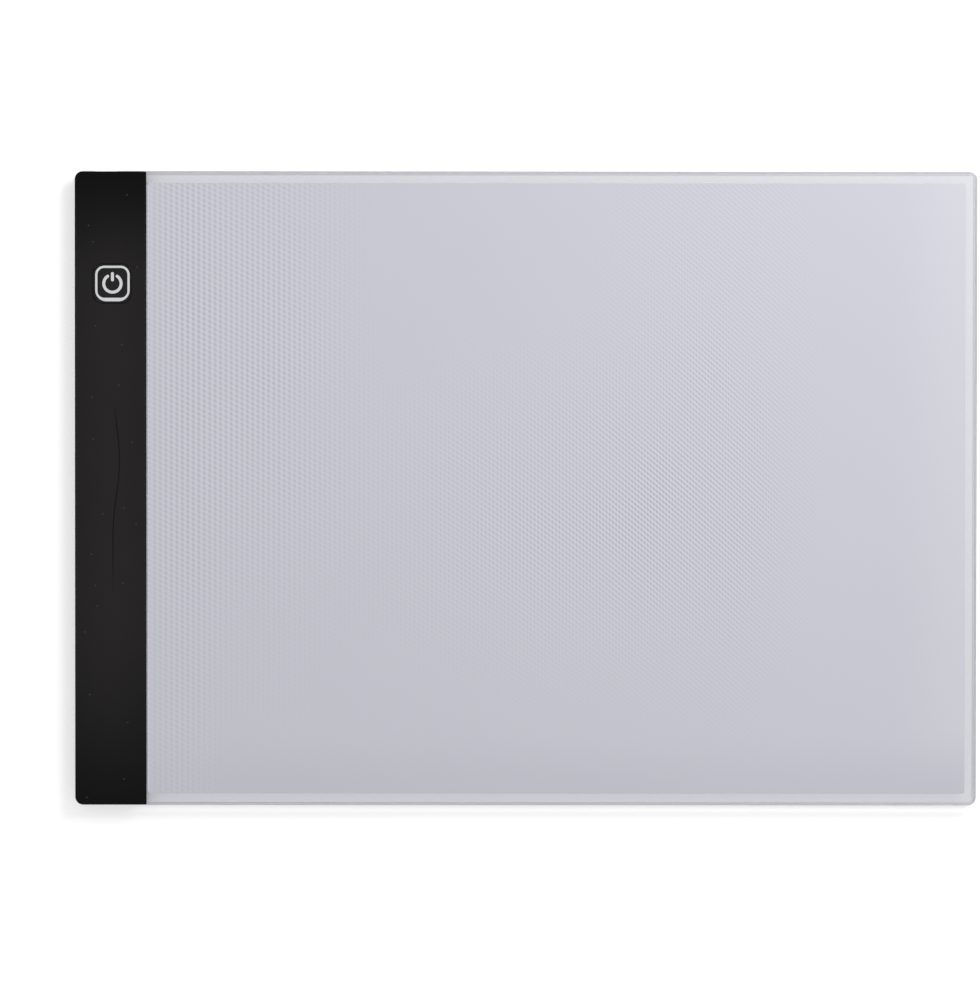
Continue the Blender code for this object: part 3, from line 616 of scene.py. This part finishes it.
# Moulded plastics with a dull sheen and a fine speckle: a charcoal housing, a brick red stem,
# and the sleeves of a red and a black wire.
for node, name, tones, roughness in (
    ("key_switch_body", "moulded_switch_housing", ("303032", "3E3E40"), (0.4, 0.55)),
    ("key_switch_plunger", "moulded_switch_stem", ("7F3833", "94453F"), (0.4, 0.5)),
    ("wire_positive", "red_wire_sleeve", ("A8221B", "BE2C22"), (0.35, 0.45)),
    ("wire_negative", "black_wire_sleeve", ("1B1B1D", "28282A"), (0.35, 0.45)),
):
    dress(mottled(name, cloud=SPECKLE, tones=tones, roughness=roughness, grit=SPECKLE_GRIT), node)

# The power socket: a shell folded from tin-plated steel sheet round a black moulded tongue,
# in a mouth cut through the acrylic's back edge. Five gold-plated contacts lie side by side
# under the tongue.

CONTACT_COUNT = 5
CONTACT_PITCH = 0.00065
CONTACT_SIZE = (0.0003, 0.0024)
CONTACT_THICKNESS = 0.00005
CONTACT_TIP_BACKSET = 0.0003  # behind the tongue's tip
TONGUE_TIP_REACH = 0.0001  # m, how far back from its end the tongue counts as its tip
ROLLING_STRETCH = (1.0, 0.08, 1.0)

# Bright cool grey, with a sheen drawn out along the lines of rolling, which are drawn
# coarser than they are.
plated_steel = mottled(
    "folded_tin_plated_steel", cloud=(0.15, 3), tones=("C2C4C8", "D2D4D6"), roughness=(0.22, 0.36),
    grit=(0.15, 3, 0.004), stretch=ROLLING_STRETCH, Metallic=1.0,
)
# Near black plastic, a little dull.
tongue_plastic = mottled(
    "moulded_socket_tongue", cloud=SPECKLE, tones=("141416", "1E1E20"), roughness=(0.4, 0.55),
    grit=SPECKLE_GRIT,
)
# Warm yellow metal, bright and even.
gold_plating = mottled(
    "gold_plated_contact", cloud=(0.2, 3), tones=("D9B45C", "E6C470"), roughness=(0.2, 0.34),
    Metallic=1.0,
)
dress(plated_steel, "usb_shell")
dress(tongue_plastic, "usb_tongue")

low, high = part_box("usb_tongue")
tongue = [vertex.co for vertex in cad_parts["usb_tongue"].data.vertices]
under_tongue = min(point.z for point in tongue if point.y > high.y - TONGUE_TIP_REACH)
contact_sizes = {
    "count": CONTACT_COUNT,
    "first": (
        (low.x + high.x) / 2 - CONTACT_PITCH * (CONTACT_COUNT - 1) / 2,
        high.y - CONTACT_TIP_BACKSET - CONTACT_SIZE[1] / 2,
        under_tongue - CONTACT_THICKNESS / 2,
    ),
    "step": (CONTACT_PITCH, 0.0, 0.0),
    "width": CONTACT_SIZE[0],
    "height": CONTACT_SIZE[1],
    "radius": CONTACT_SIZE[0] / 4,
    "thickness": CONTACT_THICKNESS,
}
tree, given = planned("contact_row", contact_sizes)
contacts = row_of(tree, given, rounded_slab(tree, given))
rests_in(grown("socket_contacts", tree, given, contacts, contact_sizes, gold_plating))

# The front film: a matte diffuser sheet over the lit area. The light guide's dot print shows
# through it, blurred: staggered columns, 2 mm apart beside the LEDs and 1 mm at the far side,
# where they run into slanting lines. The dots are lost where the film stands off the acrylic.

DOT_ROW_PITCH = 1.893  # mm
DOTS_PER_MM_MIDDLE = 0.739
DOTS_PER_MM_SWING = 0.269
SWING_MIDDLE = 139.9  # mm from the film's left edge
SWING_REACH = 80.7  # mm
COLUMNS_PLAIN, COLUMNS_FAINT = 1.36, 0.41  # strength of the upright lines to the slanting ones
COLUMNS_REACH = 220.0  # mm from the film's left edge, where they are faintest
UPRIGHT_START, SLANTING_START = 0.5, 0.75  # turns, where the first line of each kind lies
DOT_LEVEL, GAP_LEVEL = 1.14, -0.56  # of the lines' sum, in the middle of a dot and between dots
FADE_FROM, FADE_TO = 215.0, 270.0  # mm from the film's left edge, where the dots are lost
TOUCHING_PLACES = (  # middle and reach in m, and how plain the dots are there
    (-0.100, 0.051, 0.056, 0.176, 0.85),
    (-0.130, -0.024, 0.026, 0.400, 0.50),
    (0.077, 0.040, 0.076, 0.191, 0.68),
    (0.015, -0.010, 0.119, 0.092, 0.82),
)
PLAINEST = 1.25  # how plain they are where a dot shows its full grey
PATCH = 30  # mm, the size of the largest patches in which the film touches more or less
PATCH_LEAST, PATCH_MOST = 0.6, 1.4
PAINTED_LIGHT_MARGIN = 0.030  # m, from the film's right edge, over which light is painted on
LOWER_SHADE_MARGIN = 0.026  # m, above the film's lower edge, over which shade is painted on
GLOW_EDGE_REACH = 0.8  # mm, how far in from the cut edge beside the strip a painted highlight reaches
FILM_CLOUD, FILM_HAZE, FILM_TOOTH = (80, 2), (0.4, 3), (0.25, 2)  # mm, and their detail
FILM_TOOTH_DEPTH = 0.000004  # m


def wave(tree, turns, offset):
    """A cosine of so many turns, from -1 to 1, which is 1 at the offset."""
    angle = add(
        tree, "ShaderNodeMath", {0: turns, 1: 2 * pi, 2: -2 * pi * offset}, operation="MULTIPLY_ADD"
    )
    return add(tree, "ShaderNodeMath", {0: angle}, operation="COSINE")


def dot_print(tree, up, from_left):
    """1 on a dot and 0 between dots: upright and slanting lines add up where they cross."""
    row = add(tree, "ShaderNodeMath", {0: up, 1: 1000 / DOT_ROW_PITCH}, operation="MULTIPLY")
    # The number of columns in a mm follows a tanh curve, so their count follows its integral,
    # log cosh.
    swing = add(
        tree, "ShaderNodeMath", {0: from_left, 1: 1 / SWING_REACH, 2: -SWING_MIDDLE / SWING_REACH},
        operation="MULTIPLY_ADD",
    )
    spread = add(tree, "ShaderNodeMath", {0: swing}, operation="COSH")
    logged = add(tree, "ShaderNodeMath", {0: spread, 1: e}, operation="LOGARITHM")
    swung = add(
        tree, "ShaderNodeMath", {0: logged, 1: DOTS_PER_MM_SWING * SWING_REACH}, operation="MULTIPLY"
    )
    column = add(
        tree, "ShaderNodeMath", {0: from_left, 1: DOTS_PER_MM_MIDDLE, 2: swung},
        operation="MULTIPLY_ADD",
    )
    share = add(
        tree, "ShaderNodeMapRange",
        {
            "Value": from_left, "From Max": COLUMNS_REACH,
            "To Min": COLUMNS_PLAIN, "To Max": COLUMNS_FAINT,
        },
    )
    upright = wave(tree, column, UPRIGHT_START)
    weighed = add(tree, "ShaderNodeMath", {0: upright, 1: share}, operation="MULTIPLY")
    # A slanting line falls by a row over two columns, which staggers the dots.
    slant = add(tree, "ShaderNodeMath", {0: column, 1: 0.5, 2: row}, operation="MULTIPLY_ADD")
    slanting = wave(tree, slant, SLANTING_START)
    crossed = add(tree, "ShaderNodeMath", {0: weighed, 1: slanting}, operation="ADD")
    most = add(tree, "ShaderNodeMath", {0: share, 1: 1.0}, operation="ADD")
    level = add(tree, "ShaderNodeMath", {0: crossed, 1: most}, operation="DIVIDE")
    return inside(tree, (level, DOT_LEVEL, GAP_LEVEL))


def contact(tree, place, from_left):
    """How plainly the dots show, as a share of the plainest."""
    total = 0.0
    for x, y, reach_x, reach_y, plain in TOUCHING_PLACES:
        spot = add(
            tree, "ShaderNodeMapping",
            {"Vector": place, "Location": (x, y, 0.0), "Scale": (reach_x, reach_y, 1.0)},
            vector_type="TEXTURE",
        )
        flat = add(
            tree, "ShaderNodeVectorMath", {0: spot, 1: (1.0, 1.0, 0.0)}, operation="MULTIPLY"
        )
        off = add(tree, "ShaderNodeVectorMath", {0: flat}, operation="LENGTH")
        total = add(
            tree, "ShaderNodeMath", {0: inside(tree, (off, 0.0, 1.0)), 1: plain / PLAINEST, 2: total},
            operation="MULTIPLY_ADD",
        )
    patches = add(tree, "ShaderNodeTexNoise", {"Vector": place, "Scale": 1000 / PATCH, "Detail": 3.0})
    patchy = add(
        tree, "ShaderNodeMapRange", {"Value": patches, "To Min": PATCH_LEAST, "To Max": PATCH_MOST}
    )
    uneven = add(tree, "ShaderNodeMath", {0: total, 1: patchy}, operation="MULTIPLY")
    kept = inside(tree, (from_left, FADE_FROM, FADE_TO))
    shown = add(tree, "ShaderNodeMath", {0: uneven, 1: kept}, operation="MULTIPLY")
    return add(tree, "ShaderNodeMath", {0: shown, 1: 1.0}, operation="MINIMUM")


def diffuser_film():
    # A cool pale grey without gloss. The dots under it look like soft grey print.
    made, tree, shader = new_material("matte_diffuser_film")
    low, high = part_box("front_film")
    place = add(tree, "ShaderNodeTexCoord").outputs["Object"]
    along = add(tree, "ShaderNodeSeparateXYZ", {0: place}).outputs
    across, up = along["X"], along["Y"]
    from_left = add(
        tree, "ShaderNodeMath", {0: across, 1: 1000.0, 2: -1000.0 * low.x}, operation="MULTIPLY_ADD"
    )
    cloud, haze, tooth = [
        add(tree, "ShaderNodeTexNoise", {"Vector": place, "Scale": 1000 / size, "Detail": detail})
        for size, detail in (FILM_CLOUD, FILM_HAZE, FILM_TOOTH)
    ]
    gloss = add(tree, "ShaderNodeMapRange", {"Value": haze, "To Min": 0.45, "To Max": 0.6})
    relief = add(tree, "ShaderNodeBump", {"Height": tooth, "Distance": FILM_TOOTH_DEPTH})
    feed(
        tree, shader,
        {
            "Base Color": "CACAD4", "Roughness": gloss, "Normal": relief, "IOR": 1.5,
            "Specular IOR Level": 0.3,
        },
    )
    touching = contact(tree, place, from_left)
    dots = add(
        tree, "ShaderNodeMath", {0: dot_print(tree, up, from_left), 1: touching}, operation="MULTIPLY"
    )
    # Painted light: the film is lighter towards its right edge.
    painted_light = inside(tree, (across, high.x, high.x - PAINTED_LIGHT_MARGIN))
    # Painted shade: the film is darker towards its lower edge.
    painted_lower_shade = inside(tree, (up, low.y, low.y + LOWER_SHADE_MARGIN))
    # Painted highlight: a thin pale line along the film's left cut edge.
    painted_edge_glow = inside(tree, (from_left, 0.0, GLOW_EDGE_REACH))
    layers = (
        (cloud, "CDCDD7"), (painted_light, "D0D0D9"), (painted_lower_shade, "C6C6D0"), (touching, "D5D5DF"),
        (painted_edge_glow, "E4E4EC"), (dots, "B0B0BA"),
    )
    for share, colour in layers:
        lay_over(made, share, colour)
    let_lamps_through(tree, shader, "F4F4F7")
    return made


dress(diffuser_film(), "front_film")

# The strip cover: a satin black moulded cap over the bay, whose lip wraps the acrylic's
# chamfer. Its middle is painted slightly lighter, as a painted sheen. It has a few specks of dust
# and one faint long crease below the key, which painted shade darkens.

DUST_SPACING = 0.013  # m
DUST_RADIUS = 0.00022
DUST_FREE_SHARE = 0.45  # of the places for a speck, those that stay bare
CREASE_X = -0.1523  # m, where the crease starts and ends
CREASE_BULGE = 0.0024  # how far it bends to the right in between
CREASE_MIDDLE, CREASE_BEND = 0.011, 0.017
CREASE_TOP, CREASE_TOP_FADE = 0.033, 0.01
CREASE_BOTTOM, CREASE_BOTTOM_FADE = -0.042, 0.02
CREASE_HALF_WIDTH = 0.0004
CREASE_WANDER = 0.001  # from side to side
CREASE_LUMPS = 20  # mm, the length of its larger wanders
CREASE_DEPTH = 4.0  # of the surface's own grain
CREASE_SHADE_STRENGTH = 0.8
SHEEN_ABOVE = 0.070, 0.120  # m, where the painted sheen begins to fade, and where it ends
SHEEN_BELOW = -0.048, -0.135
SHEEN_MIDDLE, SHEEN_REACH = 0.1530, 0.0135  # m left of the origin, and to either side of that
SHEEN_AT_SIDES, SHEEN_LEAST = 0.85, 0.75  # of the painted sheen in the middle, and in its clearer clouds
SATIN_CLOUD, SATIN_GRIT = (30, 3), (0.6, 2)  # mm, and their detail
SATIN_GRIT_DEPTH = 0.000004  # m


def dust_specks(tree, place):
    """1 on a few small specks."""
    cells = add(
        tree, "ShaderNodeTexVoronoi", {"Vector": place, "Scale": 1 / DUST_SPACING},
        voronoi_dimensions="2D",
    ).outputs
    draw = add(tree, "ShaderNodeSeparateColor", {0: cells["Color"]}).outputs["Red"]
    chosen = add(tree, "ShaderNodeMath", {0: draw, 1: DUST_FREE_SHARE}, operation="GREATER_THAN")
    radius = DUST_RADIUS / DUST_SPACING
    near = add(tree, "ShaderNodeMath", {0: cells["Distance"], 1: radius}, operation="LESS_THAN")
    return add(tree, "ShaderNodeMath", {0: near, 1: chosen}, operation="MULTIPLY")


def crease(tree, place):
    """1 along a thin upright line that bends to one side and comes back."""
    along = add(tree, "ShaderNodeSeparateXYZ", {0: place}).outputs
    x, y = along["X"], along["Y"]
    height = add(
        tree, "ShaderNodeMath", {0: y, 1: 1 / CREASE_BEND, 2: -CREASE_MIDDLE / CREASE_BEND},
        operation="MULTIPLY_ADD",
    )
    squared = add(tree, "ShaderNodeMath", {0: height, 1: height}, operation="MULTIPLY")
    falling = add(tree, "ShaderNodeMath", {0: squared, 1: -1.0}, operation="MULTIPLY")
    bell = add(tree, "ShaderNodeMath", {0: falling}, operation="EXPONENT")
    bend = add(tree, "ShaderNodeMath", {0: bell, 1: CREASE_BULGE}, operation="MULTIPLY")
    lumps = add(tree, "ShaderNodeTexNoise", {"Vector": place, "Scale": 1000 / CREASE_LUMPS})
    wander = add(
        tree, "ShaderNodeMath", {0: lumps, 1: CREASE_WANDER, 2: CREASE_X - CREASE_WANDER / 2},
        operation="MULTIPLY_ADD",
    )
    unbent = add(tree, "ShaderNodeMath", {0: x, 1: bend}, operation="SUBTRACT")
    aside = add(tree, "ShaderNodeMath", {0: unbent, 1: wander}, operation="SUBTRACT")
    off = add(tree, "ShaderNodeMath", {0: aside}, operation="ABSOLUTE")
    return inside(
        tree,
        (off, 0.0, CREASE_HALF_WIDTH),
        (y, CREASE_TOP - CREASE_TOP_FADE, CREASE_TOP),
        (y, CREASE_BOTTOM + CREASE_BOTTOM_FADE, CREASE_BOTTOM),
    )


def satin_black(name):
    # Black ABS with a fine spark texture: a deep satin black, with a painted sheen that greys its middle
    # a little.
    made, tree, shader = new_material(name)
    place = add(tree, "ShaderNodeTexCoord").outputs["Object"]
    along = add(tree, "ShaderNodeSeparateXYZ", {0: place}).outputs
    cloud, grit = [
        add(tree, "ShaderNodeTexNoise", {"Vector": place, "Scale": 1000 / size, "Detail": detail})
        for size, detail in (SATIN_CLOUD, SATIN_GRIT)
    ]
    shifted = add(tree, "ShaderNodeMath", {0: along["X"], 1: SHEEN_MIDDLE}, operation="ADD")
    off_middle = add(tree, "ShaderNodeMath", {0: shifted}, operation="ABSOLUTE")
    across = add(
        tree, "ShaderNodeMapRange",
        {"Value": off_middle, "From Min": SHEEN_REACH, "From Max": 0.0, "To Min": SHEEN_AT_SIDES},
        interpolation_type="SMOOTHSTEP",
    )
    lengthwise = inside(tree, (along["Y"], *SHEEN_ABOVE), (along["Y"], *SHEEN_BELOW))
    # The haze here is a painted sheen, lighter in the middle of the strip.
    haze = add(tree, "ShaderNodeMath", {0: across, 1: lengthwise}, operation="MULTIPLY")
    uneven = add(tree, "ShaderNodeMapRange", {"Value": cloud, "To Min": SHEEN_LEAST})
    painted_sheen_share = add(tree, "ShaderNodeMath", {0: haze, 1: uneven}, operation="MULTIPLY")
    gloss = add(tree, "ShaderNodeMapRange", {"Value": cloud, "To Min": 0.42, "To Max": 0.52})
    relief = add(tree, "ShaderNodeBump", {"Height": grit, "Distance": SATIN_GRIT_DEPTH})
    feed(
        tree, shader,
        {
            "Base Color": "0B0A0B", "Roughness": gloss, "Normal": relief, "IOR": 1.5,
            "Specular IOR Level": 0.05,
        },
    )
    lay_over(made, painted_sheen_share, "2A2829")
    return made


def marked(material):
    """The material with grey specks of dust on it, and a crease that is sunk into it and darkened by
    painted shade.
    """
    tree = material.node_tree
    place = add(tree, "ShaderNodeTexCoord").outputs["Object"]
    fold = crease(tree, place)
    painted_crease_shade = add(tree, "ShaderNodeMath", {0: fold, 1: CREASE_SHADE_STRENGTH}, operation="MULTIPLY")
    lay_over(material, dust_specks(tree, place), "4A4A4D")
    # Painted shade: the crease is darkened along its line.
    lay_over(material, painted_crease_shade, "0A0A0A")
    relief = tree.nodes["Bump"]
    grit = relief.inputs["Height"].links[0].from_socket
    sunk = add(
        tree, "ShaderNodeMath", {0: fold, 1: -CREASE_DEPTH, 2: grit}, operation="MULTIPLY_ADD"
    )
    feed(tree, relief, {"Height": sunk})
    return material


dress(marked(satin_black("satin_black_strip_cap")), "strip_cover")

# The power key: a moulded black cap that stands a little proud of its window, with the
# standard power symbol in a rounded frame. Both are screen printed in light grey ink, a few
# hundredths of a millimetre thick.

INK_THICKNESS = 0.00003
SYMBOL_SHIFT = 0.00019  # m, the print sits a little to the right of the key's middle
FRAME_WIDTH = 0.0127
FRAME_LENGTH = 0.0131
FRAME_RADIUS = 0.0033
FRAME_LOWER_RADIUS = 0.0041  # of the lower corners' outer side
FRAME_STROKE = 0.00082
FRAME_LOWER_STROKE = 0.0013
RING_RADIUS = 0.0032
RING_STROKE = 0.00108
RING_GAP = radians(33)  # from the ring's top to where its stroke ends
BAR_WIDTH = 0.00112
BAR_TOP = 0.0042  # above the ring's middle
BAR_BOTTOM = 0.0008
CORNER_STEPS, RING_STEPS, END_STEPS = 8, 48, 8  # in a frame's corner, the ring, half a round end
BLUNTNESS = pi / 64  # by how much the bar's ends stop short of a quarter turn, to keep a width


def printed(name, outlines):
    """Flat ink on the key: a strip of some thickness between each outline's pairs of points."""
    _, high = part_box("power_key")
    base, top = high.z, high.z + INK_THICKNESS
    shape = bmesh.new()
    for pairs, closed in outlines:
        rows = []
        for inner, outer in pairs:
            corners = ((inner, base), (outer, base), (outer, top), (inner, top))
            rows.append([shape.verts.new((*point, z)) for point, z in corners])
        if closed:
            rows.append(rows[0])
        else:
            shape.faces.new(rows[0])
            shape.faces.new(rows[-1])
        for here, there in zip(rows, rows[1:]):
            for corner, following in ((0, 1), (1, 2), (2, 3), (3, 0)):
                shape.faces.new((here[corner], here[following], there[following], there[corner]))
    bmesh.ops.recalc_face_normals(shape, faces=shape.faces)
    mesh = bpy.data.meshes.new(name)
    shape.to_mesh(mesh)
    shape.free()
    made = bpy.data.objects.new(name, mesh)
    bpy.context.scene.collection.objects.link(made)
    return made


def frame_pairs(x, y):
    """The frame's inner and outer outline. Its lower stroke is the wider one."""
    pairs = []
    inner_radius = FRAME_RADIUS - FRAME_STROKE
    for turn in range(4):
        side_x = 1 if turn in (0, 3) else -1
        side_y = 1 if turn in (0, 1) else -1
        corner_x = x + side_x * (FRAME_WIDTH / 2 - FRAME_RADIUS)
        corner_y = y + side_y * (FRAME_LENGTH / 2 - FRAME_RADIUS)
        lift = FRAME_LOWER_STROKE - FRAME_STROKE if side_y < 0 else 0
        radius = FRAME_LOWER_RADIUS if side_y < 0 else FRAME_RADIUS
        outer_x = corner_x + side_x * (FRAME_RADIUS - radius)
        outer_y = corner_y + side_y * (FRAME_RADIUS - radius)
        for step in range(CORNER_STEPS + 1):
            angle = (turn + step / CORNER_STEPS) * pi / 2
            inner_y = corner_y + lift + inner_radius * sin(angle)
            inner = (corner_x + inner_radius * cos(angle), inner_y)
            outer = (outer_x + radius * cos(angle), outer_y + radius * sin(angle))
            pairs.append((inner, outer))
    return pairs


def ring_pairs(x, y):
    """The ring from one round end to the other, open at the top."""
    pairs = []
    half = RING_STROKE / 2
    start, end = pi / 2 + RING_GAP, pi / 2 - RING_GAP + 2 * pi
    for step in range(RING_STEPS + 1):
        angle = start + (end - start) * step / RING_STEPS
        inner = (x + (RING_RADIUS - half) * cos(angle), y + (RING_RADIUS - half) * sin(angle))
        outer = (x + (RING_RADIUS + half) * cos(angle), y + (RING_RADIUS + half) * sin(angle))
        pairs.append((inner, outer))
    caps = []
    for angle, way in ((start, -1), (end, 1)):
        out_x, out_y = cos(angle), sin(angle)
        cap = []
        for step in range(1, END_STEPS):
            lean = step / END_STEPS * pi / 2
            ahead, spread = way * half * sin(lean), half * cos(lean)
            middle_x = x + RING_RADIUS * out_x - out_y * ahead
            middle_y = y + RING_RADIUS * out_y + out_x * ahead
            inner = (middle_x - out_x * spread, middle_y - out_y * spread)
            outer = (middle_x + out_x * spread, middle_y + out_y * spread)
            cap.append((inner, outer))
        caps.append(cap)
    return [*reversed(caps[0]), *pairs, *caps[1]]


def bar_pairs(x, y):
    """The short upright bar with its two round ends."""
    pairs = []
    half = BAR_WIDTH / 2
    for middle, way in ((y + BAR_BOTTOM + half, -1), (y + BAR_TOP - half, 1)):
        for step in range(1, END_STEPS + 1):
            lean = min(step / END_STEPS * pi / 2, pi / 2 - BLUNTNESS)
            height = middle + way * half * sin(lean)
            spread = half * cos(lean)
            pairs.append(((x - spread, height), (x + spread, height)))
    return sorted(pairs, key=lambda pair: pair[0][1])


# Light grey ink, flat and a little chalky. Its grain is drawn coarser than it is.
screen_ink = mottled(
    "screen_printed_grey_ink", cloud=(0.2, 2), tones=("D3D4D6", "DEDFE1"), roughness=(0.45, 0.6),
    grit=(0.2, 2, 0.004),
)
low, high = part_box("key_switch_plunger")
key_x, key_y = (low.x + high.x) / 2 + SYMBOL_SHIFT, (low.y + high.y) / 2
outlines = [(frame_pairs(key_x, key_y), True), (ring_pairs(key_x, key_y), False)]
outlines.append((bar_pairs(key_x, key_y), False))
symbol = printed("power_symbol", outlines)
symbol.data.materials.append(screen_ink)
rests_in(symbol, "power_key")
# The key's cap takes the same satin black, with the same painted sheen.
dress(satin_black("satin_black_key_cap"), "power_key")
